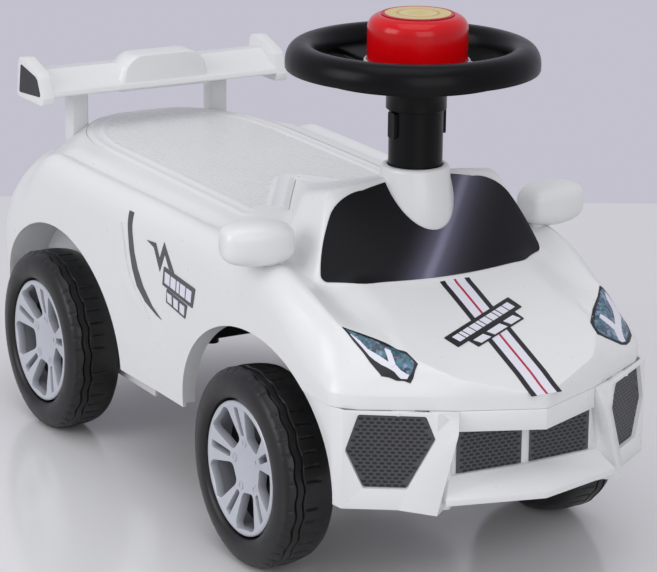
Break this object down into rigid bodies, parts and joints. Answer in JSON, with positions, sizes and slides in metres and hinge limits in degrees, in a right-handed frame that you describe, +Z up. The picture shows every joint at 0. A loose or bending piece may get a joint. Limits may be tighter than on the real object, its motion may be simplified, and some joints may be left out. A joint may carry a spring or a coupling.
{
  "type": "kids push car",
  "caption": "Foot-to-floor ride-on car for toddlers: hollow white body, steered front axle, push horn in the wheel, lift-up seat over a storage tub, rear wing.",
  "frame": {"origin": "on the ground, under the middle of the whole car's length and width", "axes": "+Z up, the nose towards -Y, +X to the car's left side"},
  "size_m": [0.3092, 0.674, 0.4014],
  "materials": {
    "white_polypropylene": "smooth moulded white polypropylene",
    "black_polypropylene": "fine-grained moulded black polypropylene",
    "tyre_black": "moulded hard plastic tyre with a fine tread",
    "silver_plastic": "silver-painted plastic",
    "red_plastic": "glossy red moulding",
    "milky_plastic": "milky moulding",
    "printed_label": "printed round label",
    "printed_film": "glossy black printed film",
    "zinc_steel": "zinc-plated steel"
  },
  "bodies": {
    "chassis": {"body_shell": "white_polypropylene", "front_bumper": "white_polypropylene", "windscreen_panel": "printed_film", "intake_panel_left": "printed_film", "intake_panel_right": "printed_film", "grille_panel_left": "printed_film", "grille_panel_right": "printed_film", "bumper_screw_left": "zinc_steel", "bumper_screw_right": "zinc_steel", "mirror_left": "white_polypropylene", "mirror_right": "white_polypropylene", "lid_hinge_pin": "zinc_steel", "storage_tub": "black_polypropylene", "rear_wing": "white_polypropylene", "wing_post_left": "white_polypropylene", "wing_post_right": "white_polypropylene", "steering_bush": "silver_plastic", "rear_axle": "zinc_steel", "axle_cap_rear_left": "zinc_steel", "axle_cap_rear_right": "zinc_steel"},
    "steering": {"steering_wheel": "black_polypropylene", "steering_column": "black_polypropylene", "steering_rod": "zinc_steel", "column_pin": "zinc_steel", "carriage_pin": "zinc_steel", "front_carriage": "black_polypropylene", "front_axle": "zinc_steel", "axle_cap_front_left": "zinc_steel", "axle_cap_front_right": "zinc_steel", "horn_ring": "milky_plastic", "sound_box": "black_polypropylene", "horn_spring": "zinc_steel"},
    "wheel_front_left": {"tyre_front_left": "tyre_black", "hub_cap_front_left": "silver_plastic"},
    "wheel_front_right": {"tyre_front_right": "tyre_black", "hub_cap_front_right": "silver_plastic"},
    "wheel_rear_left": {"tyre_rear_left": "tyre_black", "hub_cap_rear_left": "silver_plastic"},
    "wheel_rear_right": {"tyre_rear_right": "tyre_black", "hub_cap_rear_right": "silver_plastic"},
    "horn": {"horn_button": "red_plastic", "horn_label": "printed_label"},
    "lid": {"seat_lid": "white_polypropylene"}
  },
  "joints": [
    {"name": "steer", "type": "hinge", "parent": "chassis", "child": "steering", "pos_m": [0, -0.153, 0], "axis": [0, 0, 1], "range_deg": [-16, 16]},
    {"name": "front_left_wheel_spin", "type": "hinge", "parent": "steering", "child": "wheel_front_left", "pos_m": [0, -0.15, 0.075], "axis": [1, 0, 0], "continuous": true},
    {"name": "front_right_wheel_spin", "type": "hinge", "parent": "steering", "child": "wheel_front_right", "pos_m": [0, -0.15, 0.075], "axis": [1, 0, 0], "continuous": true},
    {"name": "rear_left_wheel_spin", "type": "hinge", "parent": "chassis", "child": "wheel_rear_left", "pos_m": [0, 0.2055, 0.075], "axis": [1, 0, 0], "continuous": true},
    {"name": "rear_right_wheel_spin", "type": "hinge", "parent": "chassis", "child": "wheel_rear_right", "pos_m": [0, 0.2055, 0.075], "axis": [1, 0, 0], "continuous": true},
    {"name": "horn_press", "type": "slide", "parent": "steering", "child": "horn", "axis": [0, 0, -1], "range_m": [0, 0.003], "stiffness_N_per_m": 600, "springref_m": -0.001, "deforming": ["horn_spring"]},
    {"name": "seat_lift", "type": "hinge", "parent": "chassis", "child": "lid", "pos_m": [0, 0.309, 0.23089], "axis": [-1, 0, 0], "range_deg": [0, 22]}
  ]
}
